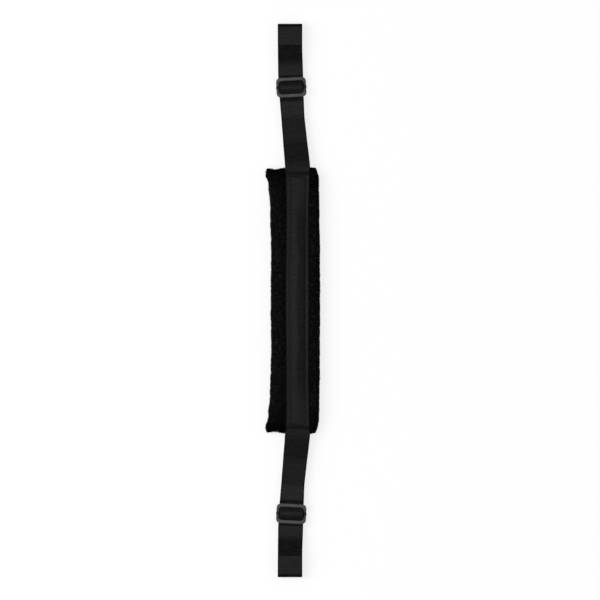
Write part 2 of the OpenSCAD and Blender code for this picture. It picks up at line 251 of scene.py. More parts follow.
def add(tree, kind, inputs=None, stops=(), **settings):
    """Adds a node. inputs maps a socket to a value, to an output or to a node, whose first output it takes;
    stops are the places and colours of a ramp, its two ends first; settings are the node's own properties."""
    made = tree.nodes.new("ShaderNode" + kind)
    for key, value in settings.items():
        setattr(made, key, value)
    for k, (place, colour) in enumerate(stops):
        stop = made.color_ramp.elements[k] if k < 2 else made.color_ramp.elements.new(place)
        stop.position = place
        stop.color = linear(colour)
    for key, value in (inputs or {}).items():
        if isinstance(value, bpy.types.Node):
            value = value.outputs[0]
        if isinstance(value, bpy.types.NodeSocket):
            tree.links.new(value, made.inputs[key])
        else:
            made.inputs[key].default_value = value
    return made


# Polyurethane foam: cut open cells, which look like a fine sponge with a dull, dry surface.
FOAM_CELL, CELL_DEPTH = 0.8, 0.3
foam, tree = new_material("polyurethane_foam")
place = add(tree, "TexCoord").outputs["Object"]
cells = add(tree, "TexVoronoi", {"Vector": place, "Scale": 1 / (FOAM_CELL * MM)})
tone = add(tree, "ValToRGB", {"Fac": cells}, stops=((0, "#8f8b82"), (1, "#bdb9ae")))
pits = add(tree, "Bump", {"Height": cells, "Distance": CELL_DEPTH * MM, "Strength": 0.6})
shader = add(tree, "BsdfPrincipled", {
    "Base Color": tone, "Roughness": 0.95, "Specular IOR Level": 0.2, "Normal": pits})
add(tree, "OutputMaterial", {"Surface": shader})

points, faces = closed_between(*pad_grids(FOAM_INSET, CROWN - FOAM_INSET, FOAM_INSET))
points[:, 2] = SEAM + (points[:, 2] - SEAM) * (1 - FOAM_INSET / SEAM)
foam_core = make_piece("pad_foam_core", points, faces, foam)
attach(foam_core, "pad")
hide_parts("pad_foam")

# Plush panels
# The pad's front and back are cut from black polyester plush and seamed together right round. The
# filling swells the two lobes beside the webbing, and the seam and the sewn channel hold them down.
PILE_STAND = 0.9
PANEL_THICK = 1.6
BACK_LIFT = 1.2
SLACK_CROWN = 11.8
SIM_FRAMES, SIM_PRESSURE, SIM_MASS = 20, 4.0, 0.004
MOST_SWELL = 5.0
PUCKER, PUCKER_SIZE, PUCKER_SEEDS = 0.6, 4.0, (31, 32, 33)
EAR_Y, EAR_X = (100, 130), (-2, -16)
CLUMP, CLUMP_GROUP, CLUMP_HEIGHT = 3.2, 12.8, 0.3
FRONT_SEED, BACK_SEED = 3, 4
LATTICE, TINY = 512, 1e-9


def swollen(front, back):
    """The pad's two grids after a cloth simulation with the seam and the sewn channel held and a steady
    pressure inside. No point moves further than MOST_SWELL."""
    rows, columns = front.shape[:2]
    count = rows * columns
    sheet = grid_faces(rows, columns)
    under = sheet[:, ::-1] + count
    index = np.arange(count).reshape(rows, columns)
    border = np.unique(np.concatenate([index[0], index[-1], index[:, 0], index[:, -1]]))
    weld = np.arange(2 * count)
    weld[border + count] = border
    used, renumbered = np.unique(weld, return_inverse=True)
    points = np.concatenate([front.reshape(-1, 3), back.reshape(-1, 3)])[used]
    mesh = bpy.data.meshes.new("pad_cloth")
    mesh.from_pydata(points * MM, [], renumbered[np.concatenate([sheet, under])].tolist())
    cloth_pad = bpy.data.objects.new("pad_cloth", mesh)
    bpy.context.collection.objects.link(cloth_pad)
    sewn = index[:, LEFT_COLUMNS:LEFT_COLUMNS + WEB_COLUMNS + 1].ravel()
    held = cloth_pad.vertex_groups.new(name="sewn")
    held.add(np.union1d(renumbered[border], renumbered[sewn]).tolist(), 1.0, "REPLACE")
    cloth = cloth_pad.modifiers.new("cloth", "CLOTH")
    cloth.settings.mass = SIM_MASS
    cloth.settings.vertex_group_mass = held.name
    cloth.settings.use_pressure = True
    cloth.settings.uniform_pressure_force = SIM_PRESSURE
    cloth.settings.effector_weights.gravity = 0
    cloth.point_cache.frame_end = SIM_FRAMES
    for moment in range(1, SIM_FRAMES + 1):
        bpy.context.scene.frame_set(moment)
    blown = cloth_pad.evaluated_get(bpy.context.evaluated_depsgraph_get()).to_mesh()
    after = np.empty(len(points) * 3, np.float32)
    blown.vertices.foreach_get("co", after)
    bpy.data.objects.remove(cloth_pad)
    bpy.context.scene.frame_set(1)
    move = after.reshape(-1, 3) / MM - points
    far = np.linalg.norm(move, axis=1, keepdims=True)
    move *= np.minimum(1, MOST_SWELL / np.maximum(far, TINY))
    whole = (points + move)[renumbered].reshape(2, rows, columns, 3)
    return whole[0], whole[1]


def refined(grid):
    """Doubles a grid's lines both ways. A new point is nine sixteenths of each neighbour less one
    sixteenth of each next one, which keeps the surface smooth; past an edge the grid runs straight on."""
    for axis in (0, 1):
        g = np.moveaxis(grid, axis, 0)
        long = np.concatenate([2 * g[:1] - g[1:2], g, 2 * g[-1:] - g[-2:-1]])
        wide = np.empty((2 * len(g) - 1, *g.shape[1:]))
        wide[::2] = g
        wide[1::2] = (9 * (long[1:-2] + long[2:-1]) - long[:-3] - long[3:]) / 16
        grid = np.moveaxis(wide, 0, axis)
    return grid


def unit(vectors):
    """Each vector divided by its length."""
    return vectors / np.maximum(np.linalg.norm(vectors, axis=-1, keepdims=True), TINY)


def normals_of(grid):
    """Unit normals of a grid: the cross product of its steps across and along."""
    return unit(np.cross(np.gradient(grid, axis=1), np.gradient(grid, axis=0)))


def patches(x, y, size, seed):
    """Smooth random heights from -1 to 1: random values on a square lattice, eased between the four
    nearest lattice points."""
    table = np.random.default_rng(seed).uniform(-1, 1, (LATTICE, LATTICE))
    i, j = np.floor(x / size).astype(int), np.floor(y / size).astype(int)
    u, v = smooth(0, 1, x / size - i), smooth(0, 1, y / size - j)
    i, j, next_i, next_j = i % LATTICE, j % LATTICE, (i + 1) % LATTICE, (j + 1) % LATTICE
    low = table[i, j] * (1 - u) + table[next_i, j] * u
    high = table[i, next_j] * (1 - u) + table[next_i, next_j] * u
    return low * (1 - v) + high * v


def puckered(grid):
    """The grid with its two ears drawn in and out at random, alike at both ends of the pad."""
    x, y = grid[..., 0], grid[..., 1]
    drawn = np.stack([patches(x, np.abs(y), PUCKER_SIZE, seed) for seed in PUCKER_SEEDS], -1)
    drawn[..., 1] *= np.sign(y)
    ear = PUCKER * smooth(*EAR_Y, np.abs(y)) * smooth(*EAR_X, x)
    return grid + ear[..., None] * drawn


def clumped(grid, side, seed):
    """The grid raised and sunk along its normals by small clumps in larger groups, but not at its rim."""
    x, y = grid[..., 0], grid[..., 1]
    bumps = patches(x, y, CLUMP, seed) + patches(x, y, CLUMP_GROUP, seed)
    inside = np.zeros(grid.shape[:2])
    inside[1:-1, 1:-1] = 1
    return grid + side * normals_of(grid) * (CLUMP_HEIGHT * inside * bumps)[..., None]


def lined(grid):
    """The same surface drawn in by the panel's thickness, towards the middle of the seam plane."""
    middle = np.array([PAD_MIDDLE, 0, SEAM])
    half = np.array([(PAD_RIGHT + PAD_LEFT) / 2, PAD_HALF, CROWN - SEAM])
    return middle + (grid - middle) * (1 - PANEL_THICK / half)


# Polyester plush: a dense black pile of fine fibres that swallows light, with painted light on its tips and
# painted shade at its roots, mottled where the pile lies another way, and blacker towards the pad's two ends.
MOTTLE, PATCH, PATCH_SHARE = 3.0, 18.0, 0.15
TIP_SHARE = 0.1
BLACK_FROM, BLACK_TO, BLACK_SHARE = 108.0, 132.0, 0.66
plush, tree = new_material("polyester_plush")
place = add(tree, "TexCoord").outputs["Object"]
mottle = add(tree, "TexNoise", {"Vector": place, "Scale": 1 / (MOTTLE * MM), "Detail": 3.0})
patch = add(tree, "TexNoise", {"Vector": place, "Scale": 1 / (PATCH * MM), "Detail": 2.0})
both = add(tree, "Mix", {0: PATCH_SHARE, 2: mottle, 3: patch})
# Painted light and shade: the level that each tuft carries lifts its tone towards its tip and leaves its
# roots darker.
height = add(tree, "Attribute", attribute_name="pile_tip_light").outputs["Fac"]
stand = add(tree, "Math", {0: height, 1: TIP_SHARE, 2: both}, operation="MULTIPLY_ADD")
along = add(tree, "SeparateXYZ", {0: place}).outputs["Y"]
far = add(tree, "Math", {0: along}, operation="ABSOLUTE")
paler = add(tree, "MapRange", {
    "Value": far, "From Min": BLACK_TO * MM, "From Max": BLACK_FROM * MM,
    "To Min": BLACK_SHARE, "To Max": 1.0})
lit = add(tree, "Math", {0: stand, 1: paler}, operation="MULTIPLY")
tone = add(tree, "ValToRGB", {"Fac": lit}, stops=((0.31, "#040404"), (0.73, "#262626"), (0.52, "#141414")))
shader = add(tree, "BsdfPrincipled", {
    "Base Color": tone, "Roughness": 0.9, "Specular IOR Level": 0.03})
add(tree, "OutputMaterial", {"Surface": shader})

front, back = pad_grids(PILE_STAND, SLACK_CROWN, 0.0)
front, back = swollen(front, back)
back[..., 2] = np.maximum(back[..., 2], BACK_LIFT)
front = clumped(puckered(refined(refined(front))), 1, FRONT_SEED)
back = clumped(puckered(refined(refined(back))), -1, BACK_SEED)
front_panel = make_piece("pad_front_panel", *closed_between(front, lined(front)), plush)
back_panel = make_piece("pad_back_panel", *closed_between(lined(back), back), plush)
for panel, node in ((front_panel, "pad_front_cover"), (back_panel, "pad_back_cover")):
    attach(panel, "pad")
    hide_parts(node)

# Pile of the plush
# Short black fibres stand close together all over both panels and lean a little with the nap. They
# are drawn as tufts half a millimetre wide, coarser than real fibres, so that they show.
TUFTS_A_PIECE = 18000
TUFT_RADIUS, TUFT_HEIGHT, TUFT_LEAN = 0.32, 1.35, 0.45
NAP, LEAN_SPREAD = np.array([0.25, -0.6, 0.0]), 0.6
SHORTEST, TALLEST = 0.6, 1.25
ROOT_DEPTH = 0.27
WAIST_AT, WAIST_LEAN, WAIST_RADIUS = 0.55, 0.3, 0.7
UP_THE_TUFT = np.array([0, 0, 0, 0.5, 0.5, 0.5, 1])
# a tuft laid out flat for its UV map, in cells of the panel's grid
TUFT_MAP = np.array([[0.5, 0.87], [-1, 0], [0.5, -0.87], [0.9, 1.2], [-0.9, 0.6], [0.9, -0.2], [0.2, 2.2]])
MAP_FROM, MAP_TO = 0.02, 0.97
PILE_CLEAR = WEB_WIDTH / 2 - 0.2
# Painted light on the pile tips: on the left lobe it grows towards the pad's edge; the right lobe gets little
# of it, a painted shade, and the back a middling share.
TIP_LIGHT_INNER, TIP_LIGHT_OUTER, LOBE_WIDTH = 0.35, 1.75, 16.0
TIP_LIGHT_RIGHT, TIP_LIGHT_BACK = 0.2, 0.6


def pile(name, grid, side, seed, keep, tip_light):
    """Tufts at random places of a surface grid, as many to each square millimetre everywhere that keep
    gives 1. A tuft is a slim three-sided spike that bends: a triangle sunk in the cloth, a smaller one
    about halfway up, and a tip, each set further over along the nap and a random lean. Its height is kept
    on its points, times the painted light given for its tip at its foot."""
    rng = np.random.default_rng(seed)
    corner = grid[:-1, :-1]
    along, across = grid[1:, :-1] - corner, grid[:-1, 1:] - corner
    middle = corner + (along + across) / 2
    area = np.linalg.norm(np.cross(along, across), axis=-1) * keep(middle[..., 0], middle[..., 1])
    cell = np.searchsorted(np.cumsum(area) / area.sum(), rng.random(TUFTS_A_PIECE))
    row, column = np.divmod(np.minimum(cell, area.size - 1), area.shape[1])
    u, v = rng.random((2, TUFTS_A_PIECE, 1))
    foot = corner[row, column] + along[row, column] * u + across[row, column] * v
    normal = side * normals_of(grid)[row, column]
    lean = NAP + rng.normal(0, LEAN_SPREAD, (TUFTS_A_PIECE, 3))
    lean = TUFT_LEAN * (lean - normal * np.sum(lean * normal, axis=1, keepdims=True))
    tall = TUFT_HEIGHT * rng.uniform(SHORTEST, TALLEST, (TUFTS_A_PIECE, 1))
    first = unit(np.cross(normal, rng.normal(0, 1, (TUFTS_A_PIECE, 3))))
    second = np.cross(normal, first)
    turn = np.arange(3) * 2 * np.pi / 3
    ring = TUFT_RADIUS * (
        first[:, None] * np.cos(turn)[:, None] + second[:, None] * np.sin(turn)[:, None])
    base = (foot - normal * ROOT_DEPTH)[:, None] + ring
    waist = (foot + normal * tall * WAIST_AT + lean * WAIST_LEAN)[:, None] + ring * WAIST_RADIUS
    tip = (foot + normal * tall + lean)[:, None]
    points = np.concatenate([base, waist, tip], axis=1)
    points[..., 2] = np.maximum(points[..., 2], 0)
    a, b = np.arange(3), (np.arange(3) + 1) % 3
    faces = np.concatenate([
        [[0, 2, 1]],
        np.stack([a, b, b + 3], -1), np.stack([a, b + 3, a + 3], -1),
        np.stack([a + 3, b + 3, np.full(3, 6)], -1)])
    numbered = ((np.arange(TUFTS_A_PIECE) * len(UP_THE_TUFT))[:, None, None] + faces).reshape(-1, 3)
    made = make_piece(name, points.reshape(-1, 3), numbered, plush, smooth_angle=180)
    # Painted light: each tuft's level rises from root to tip, scaled by the painted light given at its foot.
    level = (tip_light(foot[:, 0], foot[:, 1])[:, None] * UP_THE_TUFT).astype(np.float32).ravel()
    made.data.attributes.new("pile_tip_light", "FLOAT", "POINT").data.foreach_set("value", level)
    cells = np.array([area.shape[1], area.shape[0]])
    spot = np.hstack([column[:, None] + v, row[:, None] + u]) / cells
    flat = (np.clip(spot, MAP_FROM, MAP_TO)[:, None] + TUFT_MAP / cells).reshape(-1, 2)
    corners = flat[numbered.ravel()].astype(np.float32).ravel()
    made.data.uv_layers.new(name="OFBake").data.foreach_set("uv", corners)
    return made


def one_side(x, line, side, clear=0.0):
    """1 on one side of a line along the pad and clear of it, 0 elsewhere."""
    return (side * (x - line) > clear).astype(float)


def tip_light_left(x, y):
    """Painted light on the pile tips left of the webbing, as the stronger lamp on the left would give it: a
    little beside the webbing, and more with the square of the distance from it, so most along the pad's edge."""
    return TIP_LIGHT_INNER + TIP_LIGHT_OUTER * np.clip((web_x(y) - WEB_WIDTH / 2 - x) / LOBE_WIDTH, 0, 1) ** 2


# Each pile's name, surface, side, seed, where its tufts stand, and the painted light on their tips.
PILES = (
    ("pad_front_pile_left", front, 1, 11,
     lambda x, y: one_side(x, web_x(y), -1, PILE_CLEAR), tip_light_left),
    ("pad_front_pile_right", front, 1, 12,
     lambda x, y: one_side(x, web_x(y), 1, PILE_CLEAR), lambda x, y: np.full_like(x, TIP_LIGHT_RIGHT)),
    ("pad_back_pile_left", back, -1, 13,
     lambda x, y: one_side(x, PAD_MIDDLE, -1), lambda x, y: np.full_like(x, TIP_LIGHT_BACK)),
    ("pad_back_pile_right", back, -1, 14,
     lambda x, y: one_side(x, PAD_MIDDLE, 1), lambda x, y: np.full_like(x, TIP_LIGHT_BACK)),
)
for name, grid, side, seed, keep, tip_light in PILES:
    tufts = pile(name, grid, side, seed, keep, tip_light)
    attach(tufts, "pad")

# Webbing on the pad
# One length of 25 mm black nylon webbing lies along the pad and is sewn down near both its edges, so
# that it dips at the two rows of stitches and its selvedges stand up a little outside them.
SEWN_Y, SEWN_EASE = 132.6, 8.0
ROW_INSET, ROW_DIP, ROW_DIP_WIDTH = 3.6, 0.045, 0.9
ROW_X = WEB_WIDTH / 2 - ROW_INSET
CROSS_ROWS, CROSS_DIPS, CROSS_DIP_WIDTH = (131.1, 128.6), (0.45, 0.1), 0.9
WEB_PUFF = 0.15
WEB_ROLL, ROLL_STARTS, ROLL_STOPS = 0.058, (-2.5, 1.5), (7.4, 9.6)
ROLL_FADE, FADE_Y = 0.6, (80, 115)
ROLL_SWAY, SWAY_LONG, SWAY_SEED = 1.6, 22.0, 41
SELVEDGE, SELVEDGE_EXPONENT = 0.14, 26
WEB_POINTS = np.linspace(-1, 1, 61)
SPREAD = (WEB_POINTS + np.sin(np.pi / 2 * WEB_POINTS)) / 2
FOLD_SHARE = 0.3
PAD_RINGS = 264
# y along the strap, and the webbing's width there
STRAP_WIDTH = (
    (0, 24.4), (120, 24.5), (132.6, 25.2), (138, 25.8), (146.3, 25.5), (158.6, 25.1), (171, 24.5),
    (179.2, 24.3), (187.5, 24.0), (199.8, 24.4), (208.1, 24.8), (212.5, 24.9), (219.3, 25.5),
    (226, 25.1), (230.5, 25.65), (234.8, 25.65), (245.1, 25.4), (257.5, 25.2), (290, 25.3))
# y along the strap, and x of the webbing's middle there, past the pad
STRAP_MIDDLE = (
    (132.1, 5.26), (132.6, 5.26), (138, 4.86), (146.3, 4.16), (154.5, 3.32), (162.7, 2.48), (171, 1.75),
    (179.2, 0.91), (187.5, 0.2), (195.7, -0.39), (203.9, -0.87), (208.1, -1.15), (220.4, -1.65),
    (231, -2.19), (236, -2.32), (241, -2.42), (249.3, -2.65), (257.5, -2.8), (265.7, -2.87),
    (274, -2.9), (282.2, -2.9), (290, -2.9))


def strap_line(y):
    """Points of the webbing's middle line at y: in plan along the pad's channel and then along the
    measured middle, in height as strap_z gives it."""
    far = np.abs(y)
    return np.stack([np.where(far < SEWN_Y, web_x(y), through(STRAP_MIDDLE, far)), y, strap_z(y)], -1)


def slope_up(a, b, v):
    """The running sum of an eased step: level before a, climbing one for one after b."""
    q = np.clip((v - a) / (b - a), 0, 1)
    return (b - a) * (q ** 3 - q ** 4 / 2) + np.maximum(0, v - b)


def sewn_dip(x, y):
    """How far the webbing lies off its middle line on the pad: a dip along each row of stitches and each
    cross row, a low crown between the rows, and a roll down to the right, which starts along a swaying
    line and fades towards the pad's ends."""
    rows = ROW_DIP * np.exp(-((np.abs(x) - ROW_X) / ROW_DIP_WIDTH) ** 2)
    cross = sum(dip * np.exp(-((np.abs(y) - row) / CROSS_DIP_WIDTH) ** 2)
                for row, dip in zip(CROSS_ROWS, CROSS_DIPS))
    puff = WEB_PUFF * np.clip(1 - (x / ROW_X) ** 2, 0, 1)
    sway = ROLL_SWAY * patches(0 * y, np.abs(y), SWAY_LONG, SWAY_SEED)
    fall = slope_up(*ROLL_STARTS, x + sway) - slope_up(*ROLL_STOPS, x)
    roll = WEB_ROLL * fall * (1 - ROLL_FADE * smooth(*FADE_Y, np.abs(y)))
    on_pad = 1 - smooth(SEWN_Y - SEWN_EASE, SEWN_Y, np.abs(y))
    return on_pad * (puff - rows - roll) - cross * (np.abs(y) < SEWN_Y)


def webbing(name, middle, width, along, lift=0.0):
    """A strip of webbing along a path. Across it the half thickness is the full one times the root of
    (1 - (x over half width) to the 26th), which rounds the selvedges; lift moves each point along the
    strip's normal. Round a fold the strip keeps the heading that it came with. The UV map holds
    millimetres across and along the webbing."""
    ahead = np.gradient(middle, axis=0)
    length = np.linalg.norm(ahead, axis=1)
    forward = ahead[:, 1] * ahead[0, 1] > FOLD_SHARE * length * length[0]
    plan = np.arctan2(ahead[:, 0], ahead[:, 1])
    heading = np.where(forward, plan, plan[np.maximum(np.cumsum(forward) - 1, 0)])
    across = np.stack([np.cos(heading), -np.sin(heading), np.zeros(len(heading))], -1)
    normal = unit(np.cross(across, ahead))
    x = SPREAD[None] * width[:, None] / 2
    half = np.maximum(WEB_THICK / 2 * np.sqrt(1 - np.abs(SPREAD) ** SELVEDGE_EXPONENT), SELVEDGE)
    line = middle[:, None] + across[:, None] * x[..., None]
    upper = line + normal[:, None] * (lift + half)[..., None]
    lower = line + normal[:, None] * (lift - half)[..., None]
    points, faces = closed_between(upper, lower)
    made = make_piece(name, points, faces, nylon)
    flat = np.stack([x, np.broadcast_to(along[:, None], x.shape)], -1).reshape(-1, 2)
    flat = np.concatenate([flat, flat])[faces.ravel()]
    made.data.uv_layers.new(name="weave").data.foreach_set("uv", flat.astype(np.float32).ravel())
    return made


# Nylon webbing: warp yarns lie on top in close staggered floats, which gives a slight satin shine, and
# the weft shows as fine uneven lines across. Real yarns are half as wide and would not show.
WARP_PITCH, FLOAT_PITCH, FLOAT_RISE = 1.1, 2.2, 0.35
STREAK_WIDE, STREAK_LONG, STREAK_DEPTH = 8.0, 2.8, 0.055
WEAVE_SHARE, WEAVE_DEPTH = 0.4, 0.03
nylon, tree = new_material("nylon_webbing")
flat = add(tree, "UVMap", uv_map="weave")
part = add(tree, "SeparateXYZ", {0: flat}).outputs
warp = add(tree, "Math", {0: part["X"], 1: 1 / WARP_PITCH}, operation="MULTIPLY")
yarn = add(tree, "Math", {0: warp}, operation="FLOOR")
inside = add(tree, "Math", {0: warp}, operation="FRACT")
rib_turn = add(tree, "Math", {0: inside, 1: math.pi}, operation="MULTIPLY")
rib = add(tree, "Math", {0: rib_turn}, operation="SINE")
pick = add(tree, "Math", {0: part["Y"], 1: 2 / FLOAT_PITCH}, operation="MULTIPLY")
staggered = add(tree, "Math", {0: pick, 1: yarn}, operation="ADD")
float_turn = add(tree, "Math", {0: staggered, 1: math.pi}, operation="MULTIPLY")
wave = add(tree, "Math", {0: float_turn}, operation="COSINE")
crown = add(tree, "Math", {0: wave, 1: FLOAT_RISE, 2: 1 - FLOAT_RISE}, operation="MULTIPLY_ADD")
weave = add(tree, "Math", {0: rib, 1: crown}, operation="MULTIPLY")
stretched = add(tree, "Mapping", {
    "Vector": flat, "Scale": (1 / STREAK_WIDE, 1 / STREAK_LONG, 1.0)})
streak = add(tree, "TexNoise", {"Vector": stretched, "Scale": 1.0, "Detail": 1.0})
level = add(tree, "Math", {0: weave, 1: WEAVE_SHARE, 2: streak}, operation="MULTIPLY_ADD")
tone = add(tree, "ValToRGB", {"Fac": level}, stops=((0.52, "#010101"), (0.82, "#0e0e0e")))
uneven = add(tree, "Bump", {"Height": streak, "Distance": STREAK_DEPTH * MM, "Strength": 1.0})
ribbed = add(tree, "Bump", {
    "Height": weave, "Distance": WEAVE_DEPTH * MM, "Strength": 0.5, "Normal": uneven})
rough = add(tree, "MapRange", {
    "Value": streak, "From Min": 0.3, "From Max": 0.7, "To Min": 0.25, "To Max": 0.31})
shader = add(tree, "BsdfPrincipled", {
    "Base Color": tone, "Roughness": rough, "Specular IOR Level": 0.032, "Normal": ribbed})
add(tree, "OutputMaterial", {"Surface": shader})

y = np.linspace(-SEWN_Y, SEWN_Y, PAD_RINGS)
pad_strip = webbing("pad_webbing_strip", strap_line(y), through(STRAP_WIDTH, np.abs(y)), y,
                    sewn_dip(SPREAD * WEB_WIDTH / 2, y[:, None]))
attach(pad_strip, "pad")
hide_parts("pad_webbing")

# Stitches
# Black bonded polyester thread holds the webbing to the pad in two long rows near its edges and in two
# short rows across each end. Each stitch lies on top and dives into the webbing at both its ends.
STITCH_LEN, STITCH_PITCH, THREAD = 2.4, 3.0, 0.5
STITCH_RINGS, STITCH_SIDES = 7, 6
ARCH_RISE, ARCH_SINK, ARCH_SHARE = 0.95, 0.55, 0.96
ROW_REACH, CROSS_REACH = 123.0, 10.5
PROBE = 0.2


def tube_faces(rings, sides, closed=False):
    """Quads between neighbouring rings of a tube; if it is closed, the last ring joins the first."""
    r, k = np.mgrid[0:rings if closed else rings - 1, 0:sides]
    following, beside = (r + 1) % rings * sides, (k + 1) % sides
    return np.stack([r * sides + k, following + k, following + beside, r * sides + beside], -1).reshape(-1, 4)


def stitches(name, middle, along, up):
    """One stitch at each place: a thread bent to a low arch. Its rings follow half an ellipse whose ends
    sink below the surface, and each ring is a circle."""
    q = np.linspace(-1, 1, STITCH_RINGS)
    rise = THREAD * (ARCH_RISE * np.sqrt(1 - (ARCH_SHARE * q) ** 2) - ARCH_SINK)
    line = middle[:, None] + along[:, None] * (q * STITCH_LEN / 2)[:, None] + up[:, None] * rise[:, None]
    ahead = unit(np.gradient(line, axis=1))
    out = np.cross(along, up)[:, None]
    over = np.cross(out, ahead)
    turn = np.arange(STITCH_SIDES) * 2 * np.pi / STITCH_SIDES
    rings = line[:, :, None] + THREAD / 2 * (
        out[:, :, None] * np.cos(turn)[:, None] + over[:, :, None] * np.sin(turn)[:, None])
    last = (STITCH_RINGS - 1) * STITCH_SIDES
    ends = np.array([[0, 1, 2, 3], [0, 3, 4, 5]])
    one = np.concatenate([tube_faces(STITCH_RINGS, STITCH_SIDES), ends, ends[:, ::-1] + last])
    numbered = (np.arange(len(middle)) * STITCH_RINGS * STITCH_SIDES)[:, None, None] + one
    return make_piece(name, rings.reshape(-1, 3), numbered.reshape(-1, 4), thread, smooth_angle=60)


def on_pad_strip(x, y):
    """A point on top of the webbing on the pad."""
    return strap_line(y) + np.stack([x, 0 * x, sewn_dip(x, y) + WEB_THICK / 2], -1)


def laid(name, x, y, way):
    """Stitches on top of the webbing on the pad at those places, along x or y of the surface there. The
    surface's directions are the steps between points a little to each side."""
    step = {"x": on_pad_strip(x + PROBE, y) - on_pad_strip(x - PROBE, y),
            "y": on_pad_strip(x, y + PROBE) - on_pad_strip(x, y - PROBE)}
    return stitches(name, on_pad_strip(x, y), unit(step[way]), unit(np.cross(step["x"], step["y"])))


# Bonded polyester thread: twisted black filaments with a waxy coat, a little shinier than the webbing.
# At scale 1 a wave texture repeats about every 0.3 units.
TWIST, TWIST_DEPTH, WAVE_REPEAT = 0.6, 0.06, 0.3
thread, tree = new_material("polyester_thread")
place = add(tree, "TexCoord").outputs["Object"]
twist = add(tree, "TexWave", {
    "Vector": place, "Scale": WAVE_REPEAT / (TWIST * MM), "Distortion": 2.0},
    bands_direction="DIAGONAL").outputs["Fac"]
tone = add(tree, "ValToRGB", {"Fac": twist}, stops=((0, "#0b0b0b"), (1, "#1a1a1a")))
ply = add(tree, "Bump", {"Height": twist, "Distance": TWIST_DEPTH * MM, "Strength": 0.5})
shader = add(tree, "BsdfPrincipled", {
    "Base Color": tone, "Roughness": 0.5, "Specular IOR Level": 0.12, "Normal": ply})
add(tree, "OutputMaterial", {"Surface": shader})

row_y = np.arange(-ROW_REACH, ROW_REACH + STITCH_PITCH / 2, STITCH_PITCH)
row_x = np.arange(-CROSS_REACH, CROSS_REACH + STITCH_PITCH / 2, STITCH_PITCH)
cross_x, cross_y = np.tile(row_x, len(CROSS_ROWS)), np.repeat(CROSS_ROWS, len(row_x))
SEWING = (
    ("edge", np.repeat([-ROW_X, ROW_X], len(row_y)), np.tile(row_y, 2), "y"),
    ("upper_cross", cross_x, cross_y, "x"),
    ("lower_cross", cross_x, -cross_y, "x"),
)
for row, x, y, way in SEWING:
    sewing = laid(f"{row}_stitches", x, y, way)
    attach(sewing, "pad")
    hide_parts(f"{row}_stitching")

# Arms
# At each end of the pad the webbing runs on, bends at the pad's edge and passes through the slider,
# over its middle bar and under its outer bars. It leans a few degrees off the pad's long axis.
ARM_END_Y = 228.1
SIDES = (("upper", 1), ("lower", -1))


def turned_over(made):
    """The lower half's form of an upper piece: y changes sign and the faces are flipped."""
    co = np.empty(len(made.data.vertices) * 3, np.float32)
    made.data.vertices.foreach_get("co", co)
    co[1::3] *= -1
    made.data.vertices.foreach_set("co", co)
    made.data.flip_normals()


def length_along(middle):
    """Distance along a path at each of its points."""
    return np.concatenate([[0], np.cumsum(np.linalg.norm(np.diff(middle, axis=0), axis=1))])


for label, side in SIDES:
    y = np.linspace(SEWN_Y, ARM_END_Y, int(ARM_END_Y - SEWN_Y) + 1)
    middle = strap_line(y)
    run = length_along(middle)
    strip = webbing(f"{label}_arm_strip", middle, through(STRAP_WIDTH, y), SEWN_Y + run)
    if side < 0:
        turned_over(strip)
    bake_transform(strip)
    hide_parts(f"{label}_arm_webbing")

# Slider frames
# Each is one loop of steel wire, bent to a rectangle with round corners, pressed wide and flat there,
# and arched so that its side rails dip to the middle bar. It has a dark satin coat.
SLIDER = (-1.58, 219.5)
SLIDER_TILT = math.radians(2.8)
RAIL_X, BAR_PITCH, CORNER_R = 13.95, 17.0, 4.3
BAR_Z, OUTER_BAR_Z = 3.15, 8.1
RISE = OUTER_BAR_Z - BAR_Z
RAIL_R = ((BAR_PITCH / 2) ** 2 + RISE ** 2 - CORNER_R ** 2) / (2 * RISE)
RAIL_TURN = math.atan2(BAR_PITCH / 2, RAIL_R - RISE) - math.atan2(CORNER_R, RAIL_R)
RAIL_WIDE, BAR_WIDE, WIRE_HIGH = 2.9, 3.35, 2.4
CORNER_SWELL, CORNER_FLAT, CORNER_LIFT = 0.8, 0.7, 1.0
LIFT_FROM, WIDER_FROM = 0.25, 0.2
RAIL_RINGS, CORNER_RINGS, BAR_RINGS, WIRE_SIDES = 20, 12, 8, 24
SECTION_EXPONENT = 2.4


def on_slider(points, tilt=SLIDER_TILT):
    """Points given from the middle of the slider's bar, turned by the tilt and set in their place."""
    x, y, z = points[..., 0], points[..., 1], points[..., 2]
    return np.stack([
        SLIDER[0] + x * math.cos(tilt) - y * math.sin(tilt),
        SLIDER[1] + x * math.sin(tilt) + y * math.cos(tilt), BAR_Z + z], -1)


